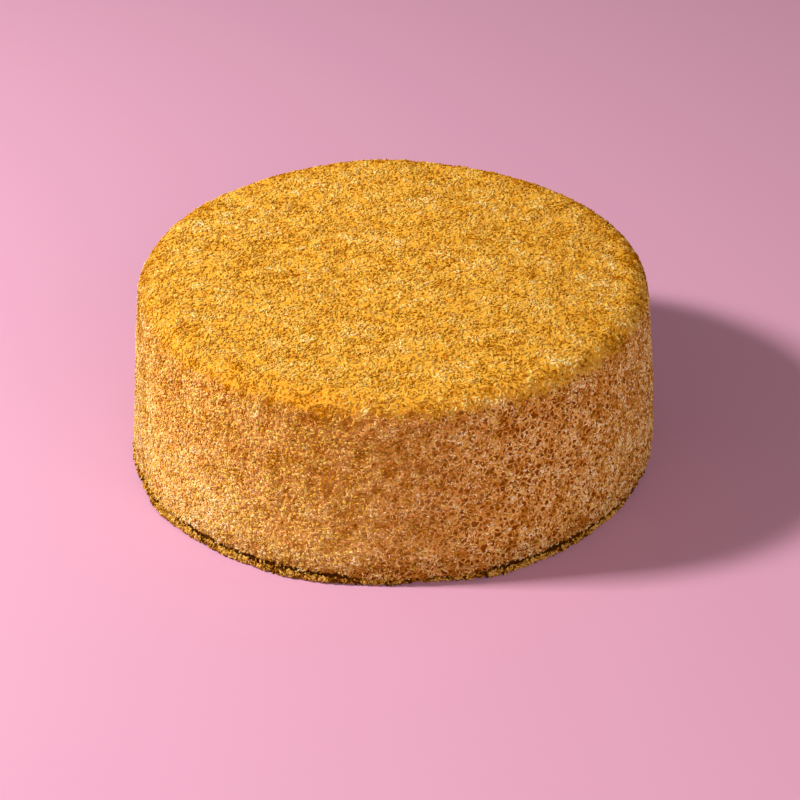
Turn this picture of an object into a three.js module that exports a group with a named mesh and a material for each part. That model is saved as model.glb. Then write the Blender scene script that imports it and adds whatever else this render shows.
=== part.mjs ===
// Honey cake, whole and uncut, standing on its flat base.
//
// One solid: a low drum with a leaning side, a round shoulder and a flat top,
// with the thin ledge of loose crumbs that gathers round its foot.
// Millimetres, +Z up. The origin is the centre of the base, and the side that
// faces -Y is the front. An azimuth runs anticlockwise from +X, seen from above.

import * as THREE from 'three';
import { mergeVertices } from 'three/addons/utils/BufferGeometryUtils.js';

// ---- driving dimensions -------------------------------------------------

const BASE_RADIUS = 100;       // the side carried straight down to the base
const TOP_RADIUS = 94.9;       // the side where the shoulder begins
const HEIGHT = 72;
const SHOULDER_RADIUS = 8;
const SIDE_BULGE = 0.45;       // how far the middle of the side swells past a straight lean

const LEDGE_HEIGHT = 2;        // crumbs heaped against the foot
const LEDGE_DEPTH = 0.4;       // how far they reach past the side, before the swells below
const LEDGE_ROUND = 0.6;       // how far the ledge's round edge falls back, above and below
const CREASE_HEIGHT = 1.4;     // from the top of the ledge up to where the side is full again
const CREASE_DEPTH = 1.3;      // how far the side is undercut just above the ledge

const SEGMENTS = 96;           // facets round the cake
const LEDGE_ROWS = 4;
const SIDE_ROWS = 14;
const SHOULDER_ROWS = 8;
const TOP_ROWS = 7;

// ---- how uneven the cake is ---------------------------------------------

const TOP_LEAN = 0.35;         // the whole top sits this far over towards one side
const TOP_LEAN_AZIMUTH = 43;   // degrees
const STEADY_RADIUS = 66;      // inside this the side's waves don't move the top or the base

// Slow waves left by the spreading knife: how many round the cake, how high, and where.
const SIDE_WAVES = [
  { count: 3, height: 0.32, azimuth: 20, twist: 0.5 },
  { count: 5, height: 0.22, azimuth: 71, twist: -0.8 },
  { count: 9, height: 0.13, azimuth: 12, twist: 1.7 },
];
const TOP_WAVES = [
  { length: 96, height: 0.3, azimuth: 25 },
  { length: 61, height: 0.18, azimuth: 118 },
  { length: 43, height: 0.12, azimuth: 205 },
];

// Where the crumb ledge lies wider (plus) or thinner (minus) than usual.
const LEDGE_SWELLS = [
  { azimuth: 40, width: 22, reach: 0.5 },
  { azimuth: 118, width: 16, reach: 0.8 },
  { azimuth: 165, width: 14, reach: -0.4 },
  { azimuth: 217, width: 9, reach: 1.4 },
  { azimuth: 243, width: 8, reach: 1.2 },
  { azimuth: 277, width: 8, reach: -2.0 },
  { azimuth: 293, width: 4, reach: 0.8 },
  { azimuth: 341, width: 16, reach: -1.5 },
];
const LEDGE_RIPPLES = [
  { count: 31, height: 0.18 },
  { count: 19, height: 0.22 },
];

// ---- profile ------------------------------------------------------------

const rad = THREE.MathUtils.degToRad;

const SIDE_TOP = HEIGHT - SHOULDER_RADIUS;
const LEDGE_TOP_ANGLE = rad(60);
const CREASE_FLOOR = LEDGE_HEIGHT + CREASE_HEIGHT / 4;
const CREASE_TOP = LEDGE_HEIGHT + CREASE_HEIGHT;

/** Radius of the side at a height, without ledge or crease. */
function sideRadius(z) {
  const t = z / SIDE_TOP;
  return THREE.MathUtils.lerp(BASE_RADIUS, TOP_RADIUS, t) + SIDE_BULGE * 4 * t * (1 - t);
}

/** The angle that the side leans inwards where it meets the shoulder. */
function leanAtShoulder() {
  return Math.atan((BASE_RADIUS - TOP_RADIUS + 4 * SIDE_BULGE) / SIDE_TOP);
}

/** The foot: flat base, rounded crumb ledge, and the crease above it. */
function footPoints() {
  const points = [new THREE.Vector2(0, 0)];
  for (let row = 0; row <= LEDGE_ROWS; row++) {
    const angle = THREE.MathUtils.lerp(-Math.PI / 2, LEDGE_TOP_ANGLE, row / LEDGE_ROWS);
    const inset = LEDGE_ROUND * (1 - Math.cos(angle));
    const z = LEDGE_HEIGHT / 2 * (1 + Math.sin(angle));
    points.push(new THREE.Vector2(BASE_RADIUS + LEDGE_DEPTH - inset, z));
  }
  points.push(new THREE.Vector2(BASE_RADIUS - CREASE_DEPTH, CREASE_FLOOR));
  return points;
}

/** The side, from the top of the crease to the start of the shoulder. */
function sidePoints() {
  const points = [];
  for (let row = 0; row < SIDE_ROWS; row++) {
    const z = THREE.MathUtils.lerp(CREASE_TOP, SIDE_TOP, row / SIDE_ROWS);
    points.push(new THREE.Vector2(sideRadius(z), z));
  }
  return points;
}

/** The quarter round between the side and the top. */
function shoulderPoints() {
  const start = leanAtShoulder();
  const centre = new THREE.Vector2(TOP_RADIUS - SHOULDER_RADIUS * Math.cos(start),
    HEIGHT - SHOULDER_RADIUS);
  const points = [];
  for (let row = 0; row <= SHOULDER_ROWS; row++) {
    const angle = THREE.MathUtils.lerp(start, Math.PI / 2, row / SHOULDER_ROWS);
    points.push(new THREE.Vector2(Math.cos(angle), Math.sin(angle))
      .multiplyScalar(SHOULDER_RADIUS).add(centre));
  }
  return points;
}

/** The flat top, from the shoulder in to the axis. */
function topPoints() {
  const rim = shoulderPoints().at(-1).x;
  const points = [];
  for (let row = 1; row <= TOP_ROWS; row++) {
    points.push(new THREE.Vector2(rim * (1 - row / TOP_ROWS), HEIGHT));
  }
  return points;
}

// ---- unevenness ---------------------------------------------------------

/** How far the ledge reaches past its usual depth at an azimuth in radians. */
function ledgeReach(azimuth) {
  let reach = 0;
  for (const swell of LEDGE_SWELLS) {
    const spread = rad(swell.width) ** 2;
    reach += swell.reach * Math.exp((Math.cos(azimuth - rad(swell.azimuth)) - 1) / spread);
  }
  for (const ripple of LEDGE_RIPPLES) reach += ripple.height * Math.sin(ripple.count * azimuth);
  return reach;
}

/** How far the side stands out at an azimuth and a share of the height, 0 to 1. */
function sideSwell(azimuth, share) {
  let swell = 0;
  for (const wave of SIDE_WAVES) {
    const phase = wave.count * (azimuth - rad(wave.azimuth)) + wave.twist * Math.PI * share;
    swell += wave.height * Math.cos(phase);
  }
  return swell;
}

/** How far the top stands up at a place on it. */
function topSwell(x, y) {
  let swell = 0;
  for (const wave of TOP_WAVES) {
    const along = x * Math.cos(rad(wave.azimuth)) + y * Math.sin(rad(wave.azimuth));
    swell += wave.height * Math.sin(2 * Math.PI * along / wave.length);
  }
  return swell;
}

/** Moves one point of the true round drum to where the uneven cake has it. */
function makeUneven(point) {
  const radius = Math.hypot(point.x, point.y);
  const azimuth = Math.atan2(point.y, point.x);
  const share = point.z / HEIGHT;
  const onLedge = 1 - THREE.MathUtils.smoothstep(point.z, LEDGE_HEIGHT, CREASE_TOP);
  const nearRim = THREE.MathUtils.smoothstep(radius, STEADY_RADIUS, TOP_RADIUS);
  const onTop = THREE.MathUtils.smoothstep(point.z, SIDE_TOP, HEIGHT);

  const out = nearRim * (sideSwell(azimuth, share) + onLedge * ledgeReach(azimuth));
  const lean = TOP_LEAN * share;
  point.x += out * Math.cos(azimuth) + lean * Math.cos(rad(TOP_LEAN_AZIMUTH));
  point.y += out * Math.sin(azimuth) + lean * Math.sin(rad(TOP_LEAN_AZIMUTH));
  point.z += onTop * topSwell(point.x, point.y);
}

/** The whole cake's surface, with its base centred on the origin. */
function cakeGeometry() {
  const profile = [...footPoints(), ...sidePoints(), ...shoulderPoints(), ...topPoints()];
  const drum = new THREE.LatheGeometry(profile, SEGMENTS).rotateX(Math.PI / 2);
  drum.deleteAttribute('normal');
  drum.deleteAttribute('uv');
  const geometry = mergeVertices(drum);

  const position = geometry.getAttribute('position');
  const point = new THREE.Vector3();
  for (let i = 0; i < position.count; i++) {
    point.fromBufferAttribute(position, i);
    makeUneven(point);
    position.setXYZ(i, point.x, point.y, point.z);
  }
  geometry.computeBoundingBox();
  const centre = geometry.boundingBox.getCenter(new THREE.Vector3());
  geometry.translate(-centre.x, -centre.y, 0);
  geometry.computeVertexNormals();
  return geometry;
}

// ---- the part -----------------------------------------------------------

const crumbCoat = new THREE.MeshStandardMaterial({
  color: new THREE.Color(0.78, 0.52, 0.2),
  roughness: 0.95,
  metalness: 0,
});

const cake = new THREE.Mesh(cakeGeometry(), crumbCoat);
cake.name = 'cake';

const group = new THREE.Group();
group.add(cake);

export default group;
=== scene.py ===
"""A whole honey cake: a round sponge drum under a coat of fine golden crumbs.

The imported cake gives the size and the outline. Its surface is rebuilt as a finer sponge body
with pores, and the crumbs that stick to it are laid on it one by one, each as real geometry.
Everything is in metres, +Z up, with the centre of the cake's base at the origin. The side
that faces -Y is the front.
"""

import logging
import math
from dataclasses import dataclass, field, fields
from enum import Enum, IntEnum

import bmesh
import bpy
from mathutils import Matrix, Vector


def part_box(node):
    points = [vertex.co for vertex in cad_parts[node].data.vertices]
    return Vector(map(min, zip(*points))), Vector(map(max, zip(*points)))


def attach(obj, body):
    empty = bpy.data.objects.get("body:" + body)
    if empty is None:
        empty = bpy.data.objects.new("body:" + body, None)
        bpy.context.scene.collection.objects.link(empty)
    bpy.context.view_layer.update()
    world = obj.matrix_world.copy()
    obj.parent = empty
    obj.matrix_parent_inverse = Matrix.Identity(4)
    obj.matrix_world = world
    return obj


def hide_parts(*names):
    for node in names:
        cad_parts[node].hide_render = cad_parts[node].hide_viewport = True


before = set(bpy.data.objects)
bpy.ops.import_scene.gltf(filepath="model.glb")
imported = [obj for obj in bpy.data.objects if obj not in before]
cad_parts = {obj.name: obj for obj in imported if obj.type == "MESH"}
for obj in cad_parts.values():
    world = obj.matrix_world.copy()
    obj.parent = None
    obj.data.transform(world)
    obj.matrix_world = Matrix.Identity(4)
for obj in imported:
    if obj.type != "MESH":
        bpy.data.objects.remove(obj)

NODE = "cake"
BODY = "root"
MM = 0.001
TONE = "crumb_tone"
PORE_SIZE = 2.1 * MM

Colour = tuple[float, float, float, float]
Socket = bpy.types.NodeSocket

log = logging.getLogger("honey_cake")


def paint(red: int, green: int, blue: int) -> Colour:
    """A colour as it is read off a screen, 0 to 255, turned into the light that a shader uses.

    Args:
        red: The red part.
        green: The green part.
        blue: The blue part.

    Returns:
        The colour as linear red, green and blue with an alpha of 1.
    """
    shares = [part / 255 for part in (red, green, blue)]
    light = [s / 12.92 if s <= 0.04045 else ((s + 0.055) / 1.055) ** 2.4 for s in shares]
    return (light[0], light[1], light[2], 1.0)


# ---- a bench for making node trees ----


class Bench:
    """Places and wires the nodes of one tree."""

    MIX_FACTOR, MIX_A, MIX_B, MIX_RESULT = 0, 6, 7, 2

    def __init__(self, tree: bpy.types.NodeTree) -> None:
        """Works on one shader or geometry tree."""
        self.tree = tree

    def add(
        self, kind: str, feeds: dict[str | int, object] | None = None, **settings: object
    ) -> bpy.types.Node:
        """Adds one node.

        Args:
            kind: The node's type.
            feeds: For each input, by name or number, the socket to link or the value to set.
            **settings: The node's own properties.

        Returns:
            The new node.
        """
        node = self.tree.nodes.new(kind)
        for name, value in settings.items():
            setattr(node, name, value)
        for key, value in (feeds or {}).items():
            self.feed(node.inputs[key], value)
        return node

    def feed(self, socket: Socket, value: object) -> None:
        """Links a socket to another, or sets its value.

        Args:
            socket: The input to feed.
            value: An output socket, or a plain value.
        """
        if isinstance(value, bpy.types.NodeSocket):
            self.tree.links.new(value, socket)
        else:
            socket.default_value = value

    def math(self, operation: str, first: object, second: object = 0.0, clamp: bool = False) -> Socket:
        """One sum on two numbers or sockets, kept between 0 and 1 if it is clamped."""
        node = self.add("ShaderNodeMath", {0: first, 1: second}, operation=operation, use_clamp=clamp)
        return node.outputs[0]

    def vector(self, operation: str, first: object, second: object = (0.0, 0.0, 0.0)) -> Socket:
        """One sum on two vectors or sockets."""
        node = self.add("ShaderNodeVectorMath", {0: first, 1: second}, operation=operation)
        return node.outputs["Vector"]

    def scaled(self, vector: object, factor: object) -> Socket:
        """A vector made so many times as long."""
        node = self.add("ShaderNodeVectorMath", {0: vector, "Scale": factor}, operation="SCALE")
        return node.outputs["Vector"]

    def xyz(self, across: object = 0.0, along: object = 0.0, up: object = 0.0) -> Socket:
        """A vector made of its three parts."""
        return self.add("ShaderNodeCombineXYZ", {0: across, 1: along, 2: up}).outputs[0]

    def pull(self, mask: Socket, strength: object) -> Socket:
        """Turns a mask of 0 to 1 into a push of half the strength down to half of it up."""
        return self.times(self.math("SUBTRACT", mask, 0.5), strength)

    def plus(self, first: object, *others: object) -> Socket:
        """Several values added up.

        Args:
            first: The first number or socket.
            *others: The others.

        Returns:
            The socket of their sum.
        """
        result = first
        for value in others:
            result = self.math("ADD", result, value)
        return result

    def times(self, first: object, second: object) -> Socket:
        """Two numbers multiplied."""
        return self.math("MULTIPLY", first, second)

    def rest(self, share: object) -> Socket:
        """What a share leaves of 1."""
        return self.math("SUBTRACT", 1.0, share)

    def total(self, first: object, *others: object) -> Socket:
        """The sum of several values, kept between 0 and 1."""
        return self.math("ADD", self.plus(first, *others), 0.0, clamp=True)

    def group(self, tree: bpy.types.NodeTree, **feeds: object) -> bpy.types.NodeOutputs:
        """Adds a shader group, fed by its inputs' names, and gives its outputs."""
        return self.add("ShaderNodeGroup", feeds, node_tree=tree).outputs

    def ease(
        self, value: object, low: object, high: object, start: float = 0.0, end: float = 1.0
    ) -> Socket:
        """A smooth step from start to end, as the value goes from low to high."""
        feeds = {"Value": value, "From Min": low, "From Max": high, "To Min": start, "To Max": end}
        return self.add("ShaderNodeMapRange", feeds, interpolation_type="SMOOTHSTEP").outputs["Result"]

    def blend(self, factor: object, first: object, second: object) -> Socket:
        """A mix of two colours: 0 gives the first, 1 the second."""
        feeds = {self.MIX_FACTOR: factor, self.MIX_A: first, self.MIX_B: second}
        return self.add("ShaderNodeMix", feeds, data_type="RGBA").outputs[self.MIX_RESULT]

    def ramp(self, factor: Socket, stops: dict[float, Colour]) -> Socket:
        """A colour that runs through several others.

        Args:
            factor: Where the colour is read, 0 to 1.
            stops: The colours by their places, the lowest first.

        Returns:
            The colour's socket.
        """
        node = self.add("ShaderNodeValToRGB", {"Fac": factor})
        row = node.color_ramp.elements
        while len(row) < len(stops):
            row.new(1.0)
        for element, (place, colour) in zip(row, stops.items()):
            element.position = place
            element.color = colour
        return node.outputs["Color"]

    def noise(self, place: object, size: object, detail: float = 2.0) -> Socket:
        """Soft random blotches.

        Args:
            place: Where the pattern is read, in metres.
            size: How far apart the blotches are, in metres, as a number or a socket.
            detail: How many finer sets of blotches are added.

        Returns:
            The socket of a value of about 0.2 to 0.8.
        """
        often = self.math("DIVIDE", 1.0, size)
        feeds = {"Vector": place, "Scale": often, "Detail": detail}
        return self.add("ShaderNodeTexNoise", feeds).outputs[0]


def new_group(
    name: str, kind: str, takes: dict[str, str], gives: dict[str, str]
) -> tuple[Bench, bpy.types.NodeOutputs, bpy.types.NodeInputs]:
    """Starts a node group with named inputs and outputs.

    Args:
        name: The group's name.
        kind: ShaderNodeTree or GeometryNodeTree.
        takes: The inputs' names and socket types.
        gives: The outputs' names and socket types.

    Returns:
        A bench on the group, its input sockets by name and its output sockets by name.
    """
    tree = bpy.data.node_groups.new(name, kind)
    for title, socket in takes.items():
        tree.interface.new_socket(name=title, in_out="INPUT", socket_type=socket)
    for title, socket in gives.items():
        tree.interface.new_socket(name=title, in_out="OUTPUT", socket_type=socket)
    bench = Bench(tree)
    return bench, bench.add("NodeGroupInput").outputs, bench.add("NodeGroupOutput").inputs


FLOAT, INTEGER, VECTOR = "NodeSocketFloat", "NodeSocketInt", "NodeSocketVector"
GEOMETRY, MATERIAL = "NodeSocketGeometry", "NodeSocketMaterial"


# ---- where things are on the cake ----


@dataclass(frozen=True)
class CakeForm:
    """The cake's measures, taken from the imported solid, and the heights and widths of its zones."""

    low: Vector
    high: Vector
    shoulder: float = 8 * MM
    turnover_low: float = -1 * MM  # where side turns into top, from the start of the shoulder
    turnover_high: float = 5 * MM
    sway_size: float = 9 * MM  # how far apart the swings of the zones' edges are
    sway: float = 7 * MM
    ledge: float = 1.9 * MM
    ledge_blur: float = 0.4 * MM
    crease: float = 4.2 * MM  # the top of the crease over the ledge, which is darkened with painted shade
    crease_blur: float = 1.0 * MM
    tatter_size: float = 2.4 * MM  # how far apart the tears in the crease's lip are
    tatter: float = 4.2 * MM
    skirt: float = 15 * MM  # how high the painted shade reaches up from the ledge
    rim: float = 20 * MM
    low_from: float = 2 * MM
    low_to: float = 62 * MM

    @property
    def height(self) -> float:
        """How tall the cake is."""
        return self.high.z - self.low.z

    @property
    def radius(self) -> float:
        """Half its width across the foot."""
        return (self.high.x - self.low.x) / 2


@dataclass(frozen=True)
class Sector:
    """A part of the cake that lies towards one side, and how it grows from 0 to its strength.

    The direction is in degrees, anticlockwise from +X seen from above. Start and end say how far
    out in that direction the growth begins and ends, as shares of the cake's radius.
    """

    direction: float
    start: float
    end: float
    strength: float = 1.0


# Where the crease is shut: no painted shade in it, and crumbs may cover it.
CLOSED_CREASE = Sector(-84, 0.955, 0.985)
FILLED_CREASE = Sector(195, 0.9, 0.98)
NETTED = Sector(-38, 0.3, 0.95)
# This sector lies towards the key lamp; pulls by it paint light, a paler coat on the lit side.
GOLDEN = Sector(205, 0.25, 0.95)
# The next four sectors mark painted shade: the front and right near the foot, the side away from the key
# lamp, more so at its far end, and the far left facing the lamp, where it takes down the lamp's light.
FOOT_SHADE_SIDE = Sector(-60, -0.2, 0.6)
FAR_SIDE_SHADE = Sector(10, 0.0, 1.1, 0.5)
FAR_END_SHADE = Sector(10, 0.8, 1.0, 0.5)
FACING_LAMP = Sector(180, 0.85, 0.98)


class CakeZones:
    """Fields that say which part of the cake a place is on, alike for shaders and shapes."""

    def __init__(self, bench: Bench, place: Socket, form: CakeForm) -> None:
        """Adds the nodes.

        Args:
            bench: The tree to add them to.
            place: The place, in metres.
            form: The cake's measures.
        """
        self.bench = bench
        self.form = form
        self.across, self.along, up = bench.add("ShaderNodeSeparateXYZ", {0: place}).outputs
        level = bench.math("ADD", up, bench.pull(bench.noise(place, form.sway_size), form.sway))
        edge = form.height - form.shoulder
        self.top = bench.ease(level, edge + form.turnover_low, edge + form.turnover_high)
        self.foot = bench.ease(up, form.ledge, form.ledge + form.ledge_blur, 1.0, 0.0)
        # The crease mask: painted shade between the side and the ledge, torn at its lip; crumbs keep out of
        # it.
        torn = bench.math("ADD", up, bench.pull(bench.noise(place, form.tatter_size), form.tatter))
        lip = bench.ease(torn, form.crease - form.crease_blur, form.crease, 1.0, 0.0)
        shut = bench.total(self._within(CLOSED_CREASE), self._within(FILLED_CREASE))
        open_lip = bench.times(lip, bench.rest(shut))
        self.crease = bench.math("SUBTRACT", open_lip, self.foot, clamp=True)
        self.netted = self._within(NETTED)
        self.golden = self._within(GOLDEN)
        self.low = bench.ease(level, form.low_from, form.low_to, 1.0, 0.0)
        self.lift = bench.math("ADD", bench.times(bench.pull(self.low, 1.0), self.golden), 0.5)
        # Painted shade: darker near the foot on the front and right, on the side away from the key lamp and
        # on the far left that faces it.
        near_foot = bench.ease(level, form.ledge, form.skirt, 1.0, 0.0)
        self.dull = bench.total(
            bench.times(near_foot, self._within(FOOT_SHADE_SIDE)),
            self._within(FAR_SIDE_SHADE),
            self._within(FAR_END_SHADE),
            self._within(FACING_LAMP))
        # The rim away from the netted side; the rim pull darkens it with painted shade where the key lamp
        # strikes the shoulder.
        flat = bench.xyz(self.across, self.along)
        outwards = bench.add("ShaderNodeVectorMath", {0: flat}, operation="LENGTH").outputs["Value"]
        near_rim = bench.ease(outwards, form.radius - form.rim, form.radius - form.rim / 2)
        self.rim = bench.times(near_rim, bench.rest(self.netted))

    def _within(self, sector: Sector) -> Socket:
        """How far a place is inside a sector.

        Args:
            sector: The sector.

        Returns:
            The socket of a value of 0 to the sector's strength.
        """
        bench = self.bench
        direction = math.radians(sector.direction)
        share = 1 / self.form.radius
        across = bench.times(self.across, math.cos(direction) * share)
        along = bench.times(self.along, math.sin(direction) * share)
        out = bench.math("ADD", across, along)
        return bench.ease(out, sector.start, sector.end, 0.0, sector.strength)


# ---- shared effects ----


class SharedEffects:
    """The shader groups that the body and every kind of crumb use."""

    ZONES = ("Top", "Rim", "Lift", "Dull", "Netted", "Golden", "Crease")
    PATCH_DETAIL = 3.0
    PORE_RIM = (0.04, 0.19)
    GRAIN_RANGE = (0.3, 0.7)

    def __init__(self, form: CakeForm) -> None:
        """Builds each group once.

        Args:
            form: The cake's measures.
        """
        self.zones = self._zones(form)
        self.patches = self._patches()
        self.grain = self._grain()
        self.pores = self._pores()

    def _zones(self, form: CakeForm) -> bpy.types.NodeTree:
        """A group that gives the masks of the cake's zones.

        Args:
            form: The cake's measures.

        Returns:
            The shader tree.
        """
        gives = dict.fromkeys(self.ZONES, FLOAT)
        bench, given, out = new_group("cake_zones", "ShaderNodeTree", {"Place": VECTOR}, gives)
        zones = CakeZones(bench, given["Place"], form)
        for title in self.ZONES:
            bench.feed(out[title], getattr(zones, title.lower()))
        return bench.tree

    def _patches(self) -> bpy.types.NodeTree:
        """A group that gives the slow patches of darker and paler coat, 0 to 1.

        Returns:
            The shader tree.
        """
        takes = {"Place": VECTOR, "Size": FLOAT, "Contrast": FLOAT}
        bench, given, out = new_group("coat_patches", "ShaderNodeTree", takes, {"Patch": FLOAT})
        broad = bench.noise(given["Place"], given["Size"], self.PATCH_DETAIL)
        bench.feed(out["Patch"], bench.total(bench.pull(broad, given["Contrast"]), 0.5))
        return bench.tree

    def _grain(self) -> bpy.types.NodeTree:
        """A group that gives the finest crumb, as a value and as a normal.

        Returns:
            The shader tree.
        """
        takes = {"Place": VECTOR, "Size": FLOAT, "Height": FLOAT}
        gives = {"Grain": FLOAT, "Normal": VECTOR}
        bench, given, out = new_group("crumb_grain", "ShaderNodeTree", takes, gives)
        fine = bench.noise(given["Place"], given["Size"])
        bump = bench.add("ShaderNodeBump", {"Height": fine, "Distance": given["Height"]})
        bench.feed(out["Grain"], bench.ease(fine, *self.GRAIN_RANGE))
        bench.feed(out["Normal"], bump.outputs["Normal"])
        return bench.tree

    def _pores(self) -> bpy.types.NodeTree:
        """A group that gives the sponge's open pores: 1 in a pore, 0 on the web between.

        Returns:
            The shader tree.
        """
        takes = {"Place": VECTOR, "Size": FLOAT}
        bench, given, out = new_group("sponge_pores", "ShaderNodeTree", takes, {"Pore": FLOAT})
        edge = pore_edges(bench, given["Place"], given["Size"])
        bench.feed(out["Pore"], bench.ease(edge, *self.PORE_RIM))
        return bench.tree


# How the pores are bent out of their even cells, as shares of their pitch and size.
WARP_PITCH = 0.8
WARP_REACH = 1.1


def pore_edges(bench: Bench, place: Socket, size: object) -> Socket:
    """How far a place lies from the web between the sponge's pores.

    Args:
        bench: The tree to add the nodes to.
        place: The place, in metres.
        size: How far apart the pores are, in metres, as a number or a socket.

    Returns:
        The socket of a value that is 0 on the web and about 0.5 in the middle of a pore.
    """
    often = bench.math("DIVIDE", 1.0, size)
    warp = bench.add("ShaderNodeTexNoise", {"Vector": place, "Detail": 1.0})
    bench.feed(warp.inputs["Scale"], bench.times(often, WARP_PITCH))
    middle = bench.vector("SUBTRACT", warp.outputs["Color"], (0.5, 0.5, 0.5))
    shift = bench.scaled(middle, bench.times(size, WARP_REACH))
    feeds = {"Vector": bench.vector("ADD", place, shift), "Scale": often}
    return bench.add("ShaderNodeTexVoronoi", feeds, feature="DISTANCE_TO_EDGE").outputs["Distance"]


# ---- finishes ----


def start_material(name: str) -> tuple[bpy.types.Material, Bench, Socket]:
    """Starts a material with an empty tree.

    Args:
        name: The material's name.

    Returns:
        The material, a bench on its tree, and the socket of the place on the cake.
    """
    made = bpy.data.materials.new(name)
    made.use_nodes = True
    made.node_tree.nodes.clear()
    bench = Bench(made.node_tree)
    return made, bench, bench.add("ShaderNodeTexCoord").outputs["Object"]


@dataclass(frozen=True)
class CrumbSkin:
    """How light meets cake crumb: matt, and let in a little way before it comes out warmer.

    The painted shade tint is what is left of red, green and blue where the painted shade is darkest.
    """

    roughness: float = 0.88
    shine: float = 0.0
    inward: float = 1.0
    reach: float = 0.35 * MM
    reach_by_colour: tuple[float, float, float] = (1.0, 0.8, 0.6)
    dulling: tuple[float, float, float] = (0.73, 0.66, 0.56)

    def close(self, bench: Bench, colour: Socket, dull: Socket, normal: Socket) -> None:
        """Ends a material's tree with the shader.

        Args:
            bench: The bench on the material's tree.
            colour: The socket of its colour.
            dull: The socket of the mask of where shade is painted.
            normal: The socket of its normal.
        """
        # Painted shade: where the mask is set, the colour is multiplied by the painted shade tint.
        shown = bench.blend(dull, colour, bench.vector("MULTIPLY", colour, self.dulling))
        feeds = {
            "Base Color": shown,
            "Normal": normal,
            "Roughness": self.roughness,
            "Specular IOR Level": self.shine,
            "Subsurface Weight": self.inward,
            "Subsurface Scale": self.reach,
            "Subsurface Radius": self.reach_by_colour,
        }
        skin = bench.add("ShaderNodeBsdfPrincipled", feeds)
        bench.add("ShaderNodeOutputMaterial", {"Surface": skin.outputs[0]})


@dataclass(frozen=True)
class SpongeFinish:
    """The cake's own surface, as it shows between the crumbs."""

    name: str = "sponge"
    top_light: Colour = paint(217, 166, 60)
    top_deep: Colour = paint(196, 127, 22)
    side_light: Colour = paint(228, 178, 104)
    side_deep: Colour = paint(180, 112, 24)
    # The pore colour is partly the sponge's browner inside and partly painted shade in the pits.
    pore: Colour = paint(124, 62, 6)
    # The crease colour is painted shade in the crease over the ledge.
    crease: Colour = paint(68, 34, 6)
    blotch_size: float = 5 * MM
    blotch_contrast: float = 4.0
    blotch_pull: float = 0.6
    grain_size: float = 0.7 * MM
    grain_height: float = 0.2 * MM
    grain_pull: float = 0.3
    low_pull: float = 0.5
    # Painted light: paler on the side towards the key lamp.
    golden_pull: float = 0.3
    # Painted light: paler on the netted side, which the key lamp leaves in shade.
    netted_pull: float = 0.2
    plain_pores: float = 0.25
    netted_pores: float = 0.75
    dull_pores: float = 0.4
    top_from: float = 0.5
    top_to: float = 0.9
    skin: CrumbSkin = CrumbSkin()

    def material(self, effects: SharedEffects) -> bpy.types.Material:
        """Makes the material.

        Args:
            effects: The shared groups.

        Returns:
            The finished material.
        """
        made, bench, place = start_material(self.name)
        zones = bench.group(effects.zones, Place=place)
        blotch = bench.group(
            effects.patches, Place=place, Size=self.blotch_size, Contrast=self.blotch_contrast)["Patch"]
        grain = bench.group(effects.grain, Place=place, Size=self.grain_size, Height=self.grain_height)
        pore = bench.group(effects.pores, Place=place, Size=PORE_SIZE)["Pore"]

        top = bench.blend(grain["Grain"], self.top_deep, self.top_light)
        # The netted and lamp-side pulls below are painted light: paler on the netted side and towards the key
        # lamp.
        pale = bench.total(
            0.5,
            bench.pull(blotch, self.blotch_pull),
            bench.pull(grain["Grain"], self.grain_pull),
            bench.pull(zones["Lift"], self.low_pull),
            bench.pull(zones["Netted"], self.netted_pull),
            bench.pull(zones["Golden"], self.golden_pull))
        side = bench.blend(pale, self.side_deep, self.side_light)
        # The pits show the pore colour, partly painted shade: more of it on the netted side and where shade
        # is painted.
        open_share = bench.total(
            self.plain_pores,
            bench.times(zones["Netted"], self.netted_pores),
            bench.times(zones["Dull"], self.dull_pores))
        side = bench.blend(bench.times(pore, open_share), side, self.pore)
        colour = bench.blend(bench.ease(zones["Top"], self.top_from, self.top_to), side, top)
        # Painted shade in the crease over the ledge.
        colour = bench.blend(zones["Crease"], colour, self.crease)
        self.skin.close(bench, colour, zones["Dull"], grain["Normal"])
        return made


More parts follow.
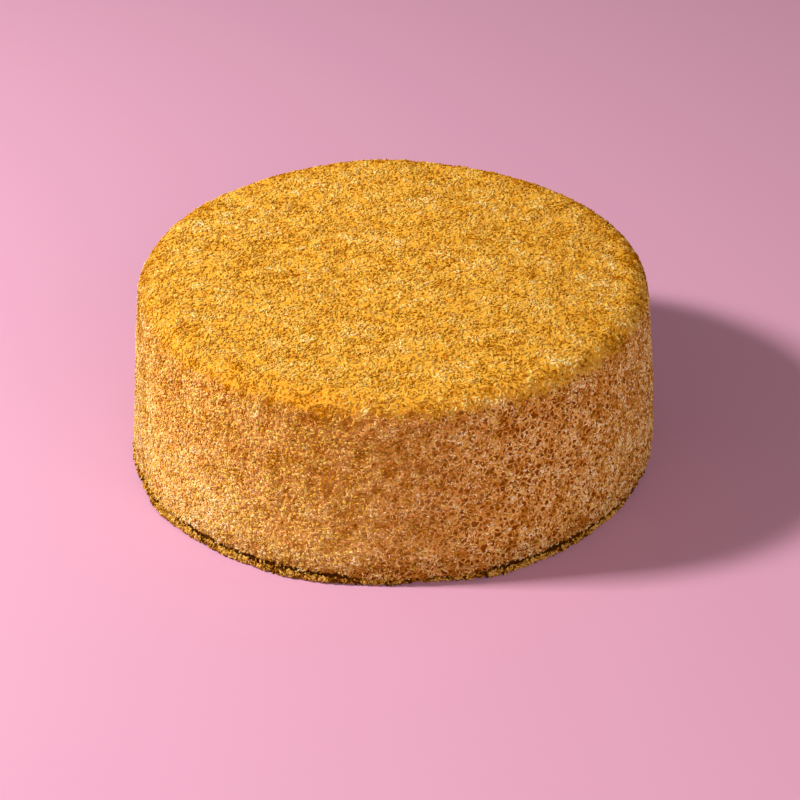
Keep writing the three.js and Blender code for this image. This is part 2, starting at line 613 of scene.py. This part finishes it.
@dataclass(frozen=True)
class CrumbFinish:
    """One kind of crumb: its colour runs from deep to pale, crumb by crumb and patch by patch.

    Each pull says how far its mask shifts the colour along that run, whose whole length is 1. The
    pulls of tone, patch, blotch and grain are scaled by calm, or by lively where the side is
    netted, and the shade vigour is added to that scale where shade is painted.
    """

    WARM_AT = 0.4
    BRIGHT_AT = 0.8

    name: str
    deep: Colour
    warm: Colour
    bright: Colour
    pale: Colour
    middle: float = 0.5
    patch_size: float = 14 * MM
    patch_pull: float = 0.5
    blotch_size: float = 5 * MM
    blotch_pull: float = 0.4
    low_pull: float = 0.0
    # Painted light: paler on the side towards the key lamp.
    golden_pull: float = 0.25
    # Painted light: paler on the netted side, which the key lamp leaves in shade.
    netted_pull: float = 0.0
    # Painted shade when negative: darker at the rim where the key lamp strikes the shoulder.
    rim_pull: float = 0.0
    grain_pull: float = 0.3
    grain_size: float = 0.5 * MM
    grain_height: float = 0.04 * MM
    contrast: float = 3.0
    tone_pull: float = 0.75
    calm: float = 0.65
    lively: float = 1.25
    dull_vigour: float = 0.9
    skin: CrumbSkin = CrumbSkin()

    def material(self, effects: SharedEffects) -> bpy.types.Material:
        """Makes the material.

        Args:
            effects: The shared groups.

        Returns:
            The finished material.
        """
        made, bench, place = start_material(self.name)
        tone = bench.add("ShaderNodeAttribute", attribute_name=TONE).outputs["Fac"]
        zones = bench.group(effects.zones, Place=place)
        patch, blotch = (
            bench.group(effects.patches, Place=place, Size=size, Contrast=self.contrast)["Patch"]
            for size in (self.patch_size, self.blotch_size))
        grain = bench.group(effects.grain, Place=place, Size=self.grain_size, Height=self.grain_height)

        sway = bench.plus(
            bench.pull(tone, self.tone_pull),
            bench.pull(patch, self.patch_pull),
            bench.pull(blotch, self.blotch_pull),
            bench.pull(grain["Grain"], self.grain_pull))
        vigour = bench.plus(
            bench.ease(zones["Netted"], 0.0, 1.0, self.calm, self.lively),
            bench.times(zones["Dull"], self.dull_vigour))
        # The netted, lamp-side and rim pulls below are painted light and shade: paler on the netted side and
        # towards the key lamp, darker at the rim where the lamp strikes the shoulder.
        shade = bench.total(
            bench.times(sway, vigour),
            bench.pull(zones["Lift"], self.low_pull),
            bench.pull(zones["Netted"], self.netted_pull),
            bench.pull(zones["Golden"], self.golden_pull),
            bench.times(zones["Rim"], self.rim_pull),
            self.middle)
        stops = {0.0: self.deep, self.WARM_AT: self.warm, self.BRIGHT_AT: self.bright, 1.0: self.pale}
        colour = bench.ramp(shade, stops)
        self.skin.close(bench, colour, zones["Dull"], grain["Normal"])
        return made


# ---- the sponge body ----


@dataclass
class SpongeBody:
    """The cake itself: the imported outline, made again as a fine porous surface."""

    form: CakeForm
    finish: SpongeFinish = SpongeFinish()
    grid: float = 1.0 * MM
    weld: float = 0.01 * MM
    base_margin: float = 4 * MM
    pore_depth: float = 0.55 * MM
    lump_size: float = 5 * MM
    lump_height: float = 0.35 * MM
    piece: bpy.types.Object | None = None

    def build(self) -> bpy.types.Object:
        """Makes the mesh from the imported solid.

        Returns:
            The body's object.
        """
        mesh = bpy.data.meshes.new_from_object(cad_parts[NODE])
        mesh.materials.clear()
        self._merge(mesh)
        body = bpy.data.objects.new("cake_body", mesh)
        bpy.context.scene.collection.objects.link(body)
        remesh = body.modifiers.new("fine grid", "REMESH")
        remesh.mode = "VOXEL"
        remesh.voxel_size = self.grid
        apply_modifiers(body)
        self._open_out_base(body.data)
        self._raise_relief(body)
        body.data.shade_smooth()
        self.piece = body
        return body

    def _merge(self, mesh: bpy.types.Mesh) -> None:
        """Joins loose triangles at their shared corners.

        Args:
            mesh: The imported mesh, changed in place.
        """
        work = bmesh.new()
        work.from_mesh(mesh)
        bmesh.ops.remove_doubles(work, verts=work.verts, dist=self.weld)
        work.to_mesh(mesh)
        work.free()

    def _open_out_base(self, mesh: bpy.types.Mesh) -> None:
        """Gives the flat base a few long faces, so that the fine grid is kept for what shows.

        Args:
            mesh: The body's mesh, changed in place.
        """
        work = bmesh.new()
        work.from_mesh(mesh)
        reach = self.form.radius - self.base_margin
        flat = [face for face in work.faces if self._on_base(face, reach)]
        bmesh.ops.delete(work, geom=flat, context="FACES")
        rim = [edge for edge in work.edges if edge.is_boundary]
        middle = work.verts.new((0.0, 0.0, self.form.low.z))
        for edge in rim:
            work.faces.new((edge.verts[0], edge.verts[1], middle))
        bmesh.ops.recalc_face_normals(work, faces=work.faces)
        work.to_mesh(mesh)
        work.free()

    def _on_base(self, face: bmesh.types.BMFace, reach: float) -> bool:
        """Whether a face is part of the flat base, within a radius."""
        centre = face.calc_center_median()
        return centre.z < self.form.low.z + self.grid / 2 and centre.xy.length < reach

    def _raise_relief(self, body: bpy.types.Object) -> None:
        """Gives the surface its pores and soft lumps.

        Args:
            body: The body's object.
        """
        modifier = body.modifiers.new("relief", "NODES")
        modifier.node_group = relief_tree(self.form)
        sizes = {
            "Pore Size": PORE_SIZE,
            "Pore Depth": self.pore_depth,
            "Lump Size": self.lump_size,
            "Lump Height": self.lump_height,
        }
        set_inputs(modifier, sizes)
        apply_modifiers(body)

    def dress(self, effects: SharedEffects) -> None:
        """Gives the body its finish and its place in the frame.

        Args:
            effects: The shared groups.
        """
        self.piece.data.materials.append(self.finish.material(effects))
        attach(self.piece, BODY)
        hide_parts(NODE)


# Where a pore's wall begins and ends, how deep the top's pores are beside the side's, and the
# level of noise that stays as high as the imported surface.
SUNK_RIM = (0.05, 0.3)
TOP_SINK = 0.25
LUMP_LEVEL = 0.55


def relief_tree(form: CakeForm) -> bpy.types.NodeTree:
    """The tree that raises lumps and sinks pores in the body's surface.

    Args:
        form: The cake's measures.

    Returns:
        The geometry tree.
    """
    takes = {
        "Geometry": GEOMETRY,
        "Pore Size": FLOAT,
        "Pore Depth": FLOAT,
        "Lump Size": FLOAT,
        "Lump Height": FLOAT,
    }
    bench, given, out = new_group("sponge_relief", "GeometryNodeTree", takes, {"Geometry": GEOMETRY})
    place = bench.add("GeometryNodeInputPosition").outputs[0]
    normal = bench.add("GeometryNodeInputNormal").outputs[0]
    zones = CakeZones(bench, place, form)
    pore = bench.ease(pore_edges(bench, place, given["Pore Size"]), *SUNK_RIM)
    on_side = bench.ease(zones.top, 0.0, 1.0, 1.0, TOP_SINK)
    sink = bench.times(bench.times(pore, given["Pore Depth"]), on_side)
    lump = bench.noise(place, given["Lump Size"])
    rise = bench.times(bench.math("SUBTRACT", lump, LUMP_LEVEL), given["Lump Height"])
    swell = bench.math("SUBTRACT", bench.times(rise, 2.0), sink)
    up = bench.add("ShaderNodeSeparateXYZ", {0: place}).outputs[2]
    clear = bench.ease(up, form.ledge, form.crease)
    offset = bench.scaled(normal, bench.times(swell, clear))
    moved = bench.add("GeometryNodeSetPosition", {"Geometry": given["Geometry"], "Offset": offset})
    bench.feed(out["Geometry"], moved.outputs[0])
    return bench.tree


# ---- crumbs ----


@dataclass(frozen=True)
class CrumbShape:
    """The form of one kind of crumb and how thickly it lies, as the crumb tree's inputs.

    Densities are crumbs for each square metre. Lengths are in metres, angles in radians.
    """

    seed: int
    top_density: float
    side_density: float
    foot_density: float
    length: float
    width: float
    thickness: float
    spread: float = 0.35
    bend: float = 0.25
    stand_out: float = 0.15 * MM
    turn: float = math.pi
    tilt: float = 0.35
    roughen: float = 0.28 * MM
    patchiness: float = 0.3
    patch_size: float = 12 * MM
    web_width: float = 1.0
    netting: float = 0.0
    gilding: float = 0.0
    lowness: float = 0.0
    segments: int = 4
    rings: int = 2

    def inputs(self) -> dict[str, float]:
        """The tree's inputs by name."""
        return {socket_title(item.name): getattr(self, item.name) for item in fields(self)}


def socket_title(name: str) -> str:
    """A field's name as the title of a socket."""
    return name.replace("_", " ").title()


class Draw(IntEnum):
    """The random numbers that each crumb draws, each from its own row of the seed."""

    HEIGHT = 1
    ROLL = 2
    TILT = 3
    TURN = 4
    LENGTH = 5
    WIDTH = 6
    THICKNESS = 7
    TONE = 8


class CrumbTree:
    """The geometry tree that lays crumbs on the body. Every kind of crumb uses it."""

    WHOLE = ("seed", "segments", "rings")
    SEED_STEP = 100.0
    NUDGE = 0.02 * PORE_SIZE
    CHIP_SIZE = 0.9 * MM
    CHIP_REACH = 3.0
    FACES_DOWN = (-0.5, -0.2)
    PATCH_RANGE = (0.35, 0.65)

    def __init__(self, form: CakeForm) -> None:
        """Builds the tree.

        Args:
            form: The cake's measures.
        """
        takes = {"Geometry": GEOMETRY, "Material": MATERIAL}
        for item in fields(CrumbShape):
            takes[socket_title(item.name)] = INTEGER if item.name in self.WHOLE else FLOAT
        gives = {"Geometry": GEOMETRY}
        self.bench, self.given, out = new_group("crumb_coat", "GeometryNodeTree", takes, gives)
        self.form = form
        toned = self._toned(self._placed())
        solid = self.bench.add("GeometryNodeRealizeInstances", {0: toned}).outputs[0]
        feeds = {"Geometry": self._roughened(solid), "Material": self.given["Material"]}
        worn = self.bench.add("GeometryNodeSetMaterial", feeds)
        self.bench.feed(out["Geometry"], worn.outputs[0])
        self.tree = self.bench.tree

    def _random(self, low: object, high: object, draw: Draw) -> Socket:
        """A random number for each crumb.

        Args:
            low: The least it can be.
            high: The most it can be.
            draw: What it is drawn for.

        Returns:
            The number's socket.
        """
        bench = self.bench
        seed = bench.math("ADD", self.given["Seed"], self.SEED_STEP * draw)
        node = bench.add("FunctionNodeRandomValue", {"Seed": seed}, data_type="FLOAT")
        floats = [socket for socket in node.inputs if socket.type == "VALUE"]
        bench.feed(floats[0], low)
        bench.feed(floats[1], high)
        return next(socket for socket in node.outputs if socket.type == "VALUE" and socket.enabled)

    def _place(self) -> Socket:
        """The place of each corner or crumb."""
        return self.bench.add("GeometryNodeInputPosition").outputs[0]

    def _density(self) -> Socket:
        """How thickly the crumbs lie at each place.

        Returns:
            The socket of the crumbs for each square metre.
        """
        bench, given = self.bench, self.given
        place = self._place()
        zones = CakeZones(bench, place, self.form)
        side = bench.times(given["Side Density"], bench.rest(zones.top))
        for mask, share in ((zones.netted, "Netting"), (zones.golden, "Gilding"), (zones.low, "Lowness")):
            more = bench.math("ADD", bench.pull(mask, given[share]), 1.0)
            side = bench.times(side, bench.math("MAXIMUM", more, 0.0))
        coat = bench.math("ADD", side, bench.times(given["Top Density"], zones.top))
        above = bench.times(bench.times(coat, bench.rest(zones.foot)), bench.rest(zones.crease))
        below = bench.times(given["Foot Density"], zones.foot)
        normal = bench.add("GeometryNodeInputNormal").outputs[0]
        facing = bench.add("ShaderNodeSeparateXYZ", {0: normal}).outputs[2]
        open_air = bench.times(bench.math("ADD", above, below), bench.ease(facing, *self.FACES_DOWN))

        blotch = bench.ease(bench.noise(place, given["Patch Size"]), *self.PATCH_RANGE, -1.0, 1.0)
        thick = bench.times(blotch, given["Patchiness"])
        patched = bench.times(open_air, bench.math("ADD", thick, 1.0))
        on_web = bench.math("LESS_THAN", pore_edges(bench, place, PORE_SIZE), given["Web Width"])
        return bench.times(patched, on_web)

    def _crumb(self) -> Socket:
        """One crumb: a bent, pointed bean about its own middle, lying along X.

        Returns:
            The socket of its mesh.
        """
        bench, given = self.bench, self.given
        sizes = {"Radius": 0.5, "Segments": given["Segments"], "Rings": given["Rings"]}
        ball = bench.add("GeometryNodeMeshUVSphere", sizes)
        laying = {
            "Geometry": ball.outputs["Mesh"],
            "Rotation": (0.0, math.pi / 2, 0.0),
            "Scale": bench.xyz(given["Thickness"], given["Width"], given["Length"]),
        }
        laid = bench.add("GeometryNodeTransform", laying).outputs[0]
        along = bench.add("ShaderNodeSeparateXYZ", {0: self._place()}).outputs[0]
        bow = bench.math("DIVIDE", bench.times(along, along), given["Length"])
        # Half a length out, at the tips, this drops by the bend's share of the length.
        drop = bench.times(bow, bench.times(given["Bend"], -4.0))
        bending = {"Geometry": laid, "Offset": bench.xyz(up=drop)}
        bent = bench.add("GeometryNodeSetPosition", bending).outputs[0]
        smooth = bench.add("GeometryNodeSetShadeSmooth", {"Geometry": bent, "Shade Smooth": True})
        return smooth.outputs[0]

    def _along_web(self, normal: Socket) -> Socket:
        """The way that the web between the pores runs: level with the surface, across its slope.

        Args:
            normal: The surface's normal.

        Returns:
            The direction's socket.
        """
        bench = self.bench
        place = self._place()
        here = pore_edges(bench, place, PORE_SIZE)
        slopes = []
        for step in ((self.NUDGE, 0.0, 0.0), (0.0, self.NUDGE, 0.0), (0.0, 0.0, self.NUDGE)):
            beside = pore_edges(bench, bench.vector("ADD", place, step), PORE_SIZE)
            slopes.append(bench.math("SUBTRACT", beside, here))
        slope = bench.vector("NORMALIZE", bench.xyz(*slopes))
        return bench.vector("CROSS_PRODUCT", normal, slope)

    def _placed(self) -> Socket:
        """The crumbs, each turned and sized at random, where they stick to the body.

        Returns:
            The socket of the placed crumbs.
        """
        bench, given = self.bench, self.given
        laying = {"Mesh": given["Geometry"], "Seed": given["Seed"], "Density": self._density()}
        scatter = bench.add("GeometryNodeDistributePointsOnFaces", laying).outputs
        height = self._random(0.0, bench.times(given["Stand Out"], 2.0), Draw.HEIGHT)
        lifting = {"Geometry": scatter["Points"], "Offset": bench.scaled(scatter["Normal"], height)}
        raised = bench.add("GeometryNodeSetPosition", lifting).outputs[0]

        facing = {"Rotation": scatter["Rotation"], "Vector": self._along_web(scatter["Normal"])}
        aligned = bench.add("FunctionNodeAlignRotationToVector", facing, axis="X", pivot_axis="Z")
        twist = bench.xyz(
            self._random(-math.pi, math.pi, Draw.ROLL),
            self._random(bench.times(given["Tilt"], -1.0), given["Tilt"], Draw.TILT),
            self._random(bench.times(given["Turn"], -1.0), given["Turn"], Draw.TURN))
        turning = {
            "Rotation": aligned.outputs[0],
            "Rotate By": bench.add("FunctionNodeEulerToRotation", {0: twist}).outputs[0],
        }
        tumble = bench.add("FunctionNodeRotateRotation", turning, rotation_space="LOCAL")
        least = bench.rest(given["Spread"])
        most = bench.math("ADD", 1.0, given["Spread"])
        sides = (Draw.LENGTH, Draw.WIDTH, Draw.THICKNESS)
        placing = {
            "Points": raised,
            "Instance": self._crumb(),
            "Rotation": tumble.outputs[0],
            "Scale": bench.xyz(*[self._random(least, most, side) for side in sides]),
        }
        return bench.add("GeometryNodeInstanceOnPoints", placing).outputs[0]

    def _toned(self, placed: Socket) -> Socket:
        """The crumbs with a tone of their own, which their finish reads.

        Args:
            placed: The placed crumbs.

        Returns:
            The socket of the toned crumbs.
        """
        bench = self.bench
        feeds = {"Geometry": placed, "Name": TONE}
        store = bench.add("GeometryNodeStoreNamedAttribute", feeds, data_type="FLOAT", domain="INSTANCE")
        value = next(socket for socket in store.inputs if socket.name == "Value" and socket.enabled)
        bench.feed(value, self._random(0.0, 1.0, Draw.TONE))
        return store.outputs[0]

    def _roughened(self, solid: Socket) -> Socket:
        """The crumbs with their corners moved at random, and none of them under the base.

        Args:
            solid: The crumbs as one mesh.

        Returns:
            The socket of the roughened mesh.
        """
        bench, given = self.bench, self.given
        feeds = {"Vector": self._place(), "Scale": 1 / self.CHIP_SIZE, "Detail": 0.0}
        chip = bench.add("ShaderNodeTexNoise", feeds)
        middle = bench.vector("SUBTRACT", chip.outputs["Color"], (0.5, 0.5, 0.5))
        knock = bench.scaled(middle, bench.times(given["Roughen"], self.CHIP_REACH))
        chipped = bench.add("GeometryNodeSetPosition", {"Geometry": solid, "Offset": knock}).outputs[0]
        above = bench.vector("MAXIMUM", self._place(), (-1.0, -1.0, 0.0))
        return bench.add("GeometryNodeSetPosition", {"Geometry": chipped, "Position": above}).outputs[0]


class Crumbs(Enum):
    """The kinds of crumb in the coat."""

    CURLS = "golden_curls"
    FLAKES = "golden_flakes"
    TOASTED = "toasted_crumbs"
    PALE_WEB = "pale_web_crumbs"
    TAN_WEB = "tan_web_crumbs"
    SIDE = "side_crumbs"
    FOOT = "foot_crumbs"


SHAPES: dict[Crumbs, CrumbShape] = {
    Crumbs.CURLS: CrumbShape(
        seed=11, top_density=0.2e6, side_density=0.02e6, foot_density=0.0,
        length=2.3 * MM, width=1.2 * MM, thickness=0.5 * MM, bend=0.12, tilt=0.08, segments=5, rings=3,
        stand_out=0.05 * MM, roughen=0.12 * MM, patchiness=0.4, patch_size=7 * MM, gilding=1.0),
    Crumbs.FLAKES: CrumbShape(
        seed=12, top_density=0.48e6, side_density=0.05e6, foot_density=0.0,
        length=1.8 * MM, width=1.3 * MM, thickness=0.4 * MM, bend=0.1, tilt=0.08, segments=5,
        stand_out=0.05 * MM, roughen=0.12 * MM, patchiness=0.2, gilding=1.0),
    Crumbs.TOASTED: CrumbShape(
        seed=13, top_density=0.3e6, side_density=0.12e6, foot_density=0.0,
        length=1.3 * MM, width=1.0 * MM, thickness=0.45 * MM, tilt=0.15, stand_out=0.08 * MM,
        roughen=0.15 * MM, patchiness=0.95, patch_size=9 * MM, netting=-0.8, lowness=-0.8),
    Crumbs.PALE_WEB: CrumbShape(
        seed=14, top_density=0.0, side_density=1.5e6, foot_density=0.0,
        length=1.6 * MM, width=0.56 * MM, thickness=0.5 * MM, web_width=0.06, turn=0.25, tilt=0.1,
        patchiness=0.2, patch_size=15 * MM, netting=0.7, lowness=0.3, roughen=0.08 * MM),
    Crumbs.TAN_WEB: CrumbShape(
        seed=17, top_density=0.0, side_density=0.6e6, foot_density=0.0,
        length=1.5 * MM, width=0.65 * MM, thickness=0.5 * MM, web_width=0.12, turn=0.5, tilt=0.15,
        patchiness=0.35, patch_size=11 * MM, netting=-1.2, roughen=0.1 * MM),
    Crumbs.SIDE: CrumbShape(
        seed=15, top_density=0.0, side_density=0.2e6, foot_density=0.2e6,
        length=1.35 * MM, width=1.0 * MM, thickness=0.65 * MM, tilt=0.2, stand_out=0.1 * MM,
        roughen=0.18 * MM, rings=3, patchiness=0.45, patch_size=11 * MM, netting=-1.4, gilding=0.8),
    Crumbs.FOOT: CrumbShape(
        seed=16, top_density=0.0, side_density=0.0, foot_density=4.5e6,
        length=1.3 * MM, width=1.0 * MM, thickness=0.9 * MM, spread=0.45, stand_out=0.25 * MM,
        patchiness=0.6, patch_size=5 * MM, rings=3),
}

TOP_PULLS = {
    "middle": 0.55,
    "patch_pull": 0.4,
    "blotch_pull": 0.75,
    "tone_pull": 0.4,
    "grain_pull": 0.2,
    # Painted light: paler towards the key lamp.
    "golden_pull": 0.08,
    # Painted shade: darker at the rim where the key lamp strikes the shoulder.
    "rim_pull": -0.3,
    "calm": 0.9,
    "lively": 1.1,
    "dull_vigour": 0.3,
}
# The lamp-side and netted pulls here are painted light: paler towards the key lamp and on the netted side.
WEB_PULLS = {"middle": 0.55, "golden_pull": 0.35, "netted_pull": 0.25, "low_pull": 0.35}

FINISHES: dict[Crumbs, CrumbFinish] = {
    Crumbs.CURLS: CrumbFinish(
        "golden_curls", paint(174, 107, 6), paint(206, 153, 52), paint(216, 172, 82), paint(228, 194, 128),
        **TOP_PULLS),
    Crumbs.FLAKES: CrumbFinish(
        "golden_flakes", paint(170, 101, 4), paint(202, 147, 48), paint(212, 166, 76), paint(224, 190, 118),
        **TOP_PULLS),
    Crumbs.TOASTED: CrumbFinish(
        "toasted", paint(132, 72, 2), paint(164, 100, 18), paint(190, 128, 44), paint(208, 154, 82)),
    Crumbs.PALE_WEB: CrumbFinish(
        "pale_web", paint(186, 112, 24), paint(228, 168, 94), paint(252, 210, 150), paint(255, 230, 192),
        patch_pull=0.3, blotch_pull=0.5, skin=CrumbSkin(inward=0.5), **WEB_PULLS),
    Crumbs.TAN_WEB: CrumbFinish(
        "tan_web", paint(156, 94, 12), paint(203, 148, 60), paint(232, 186, 106), paint(242, 207, 144),
        patch_pull=0.4, blotch_pull=0.6, **WEB_PULLS),
    Crumbs.SIDE: CrumbFinish(
        "side_crumb", paint(152, 95, 8), paint(202, 153, 50), paint(226, 185, 88), paint(240, 207, 130),
        # Painted light: paler towards the key lamp.
        golden_pull=0.3),
    Crumbs.FOOT: CrumbFinish(
        "foot_crumb", paint(84, 42, 0), paint(164, 108, 22), paint(206, 154, 58), paint(228, 180, 94),
        middle=0.47, tone_pull=1.0),
}


@dataclass
class CrumbLayer:
    """All crumbs of one kind, as one plain mesh."""

    kind: Crumbs
    piece: bpy.types.Object | None = None

    def build(self, body: bpy.types.Object, tree: CrumbTree, effects: SharedEffects) -> bpy.types.Object:
        """Lays the crumbs on the body.

        Args:
            body: The sponge body.
            tree: The tree that lays them.
            effects: The shared shader groups.

        Returns:
            The layer's object.
        """
        layer = bpy.data.objects.new(self.kind.value, body.data.copy())
        bpy.context.scene.collection.objects.link(layer)
        modifier = layer.modifiers.new("crumbs", "NODES")
        modifier.node_group = tree.tree
        material = FINISHES[self.kind].material(effects)
        set_inputs(modifier, SHAPES[self.kind].inputs() | {"Material": material})
        apply_modifiers(layer)
        self.piece = layer
        return layer

    def dress(self) -> None:
        """Gives the layer its place in the frame. The tree has set its material."""
        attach(self.piece, BODY)


# ---- modifiers ----


def set_inputs(modifier: bpy.types.NodesModifier, values: dict[str, object]) -> None:
    """Sets a geometry modifier's inputs.

    Args:
        modifier: The modifier.
        values: The inputs' values by their names in the tree.
    """
    sockets = {item.name: item for item in modifier.node_group.interface.items_tree if item.in_out == "INPUT"}
    for title, value in values.items():
        modifier[sockets[title].identifier] = value


def apply_modifiers(piece: bpy.types.Object) -> None:
    """Turns what an object's modifiers make into its plain mesh, and removes them.

    Args:
        piece: The object to settle.
    """
    bpy.context.view_layer.update()
    graph = bpy.context.evaluated_depsgraph_get()
    made = bpy.data.meshes.new_from_object(piece.evaluated_get(graph), depsgraph=graph)
    piece.modifiers.clear()
    old = piece.data
    piece.data = made
    made.name = piece.name
    bpy.data.meshes.remove(old)


# ---- the studio ----


@dataclass(frozen=True)
class Lamp:
    """One soft lamp: a square panel aimed at a point on the cake."""

    name: str
    place: tuple[float, float, float]
    aim: tuple[float, float, float]
    side: float
    power: float
    colour: tuple[float, float, float]

    def hang(self) -> None:
        """Adds the lamp to the scene."""
        data = bpy.data.lights.new(self.name, "AREA")
        data.shape = "SQUARE"
        data.size = self.side
        data.energy = self.power
        data.color = self.colour
        lamp = bpy.data.objects.new(self.name, data)
        lamp.location = self.place
        aim = Vector(self.aim) - lamp.location
        lamp.rotation_euler = aim.to_track_quat("-Z", "Y").to_euler()
        bpy.context.scene.collection.objects.link(lamp)


@dataclass
class Studio:
    """The floor, the light and the camera, none of which is part of the cake."""

    floor_half: float = 6.0
    floor_colour: Colour = paint(194, 140, 167)
    floor_roughness: float = 0.9
    air_colour: Colour = (0.97, 0.86, 0.78, 1.0)
    air_strength: float = 0.25
    lens: float = 108.0
    sensor: float = 36.0
    camera_place: tuple[float, float, float] = (0.0026, -0.7802, 0.5084)
    camera_pitch: float = math.radians(32.34)
    lamps: list[Lamp] = field(default_factory=lambda: [
        Lamp("key", (-0.89, -0.07, 0.83), (0.0, 0.0, 0.04), 0.16, 23.0, (0.99, 0.98, 0.93)),
        Lamp("fill", (0.49, -1.09, 0.5), (0.0, 0.0, 0.04), 1.2, 11.7, (0.99, 0.92, 0.86)),
    ])

    def build(self) -> None:
        """Sets up the floor, the light and the camera."""
        self._floor()
        self._air()
        for lamp in self.lamps:
            lamp.hang()
        self._camera()
        bpy.context.scene.view_settings.view_transform = "Standard"

    def _floor(self) -> None:
        """A plain pale floor."""
        mesh = bpy.data.meshes.new("floor")
        half = self.floor_half
        corners = [(-half, -half, 0.0), (half, -half, 0.0), (half, half, 0.0), (-half, half, 0.0)]
        mesh.from_pydata(corners, [], [(0, 1, 2, 3)])
        floor = bpy.data.objects.new("floor", mesh)
        bpy.context.scene.collection.objects.link(floor)
        made = bpy.data.materials.new("floor")
        made.use_nodes = True
        skin = made.node_tree.nodes["Principled BSDF"]
        skin.inputs["Base Color"].default_value = self.floor_colour
        skin.inputs["Roughness"].default_value = self.floor_roughness
        mesh.materials.append(made)

    def _air(self) -> None:
        """An even glow from all round."""
        world = bpy.data.worlds.new("studio")
        world.use_nodes = True
        glow = world.node_tree.nodes["Background"]
        glow.inputs["Color"].default_value = self.air_colour
        glow.inputs["Strength"].default_value = self.air_strength
        bpy.context.scene.world = world

    def _camera(self) -> None:
        """The camera, at the height and angle that show the cake as photographed."""
        data = bpy.data.cameras.new("camera")
        data.lens = self.lens
        data.sensor_width = self.sensor
        camera = bpy.data.objects.new("camera", data)
        camera.location = self.camera_place
        camera.rotation_euler = (math.pi / 2 - self.camera_pitch, 0.0, 0.0)
        bpy.context.scene.collection.objects.link(camera)
        bpy.context.scene.camera = camera


# ---- the whole thing ----


def main() -> None:
    """Builds the studio, the cake and its coat, and notes the cake's size."""
    logging.basicConfig(level=logging.INFO, format="%(name)s: %(message)s")
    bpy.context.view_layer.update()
    low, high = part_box(NODE)
    form = CakeForm(low, high)
    Studio().build()
    effects = SharedEffects(form)

    sponge = SpongeBody(form)
    body = sponge.build()
    log.info("%s: %d faces", body.name, len(body.data.polygons))

    tree = CrumbTree(form)
    for kind in Crumbs:
        layer = CrumbLayer(kind)
        piece = layer.build(body, tree, effects)
        piece.data.calc_loop_triangles()
        log.info("%s: %d triangles", piece.name, len(piece.data.loop_triangles))
        layer.dress()
    sponge.dress(effects)


if __name__ == "__main__":
    main()
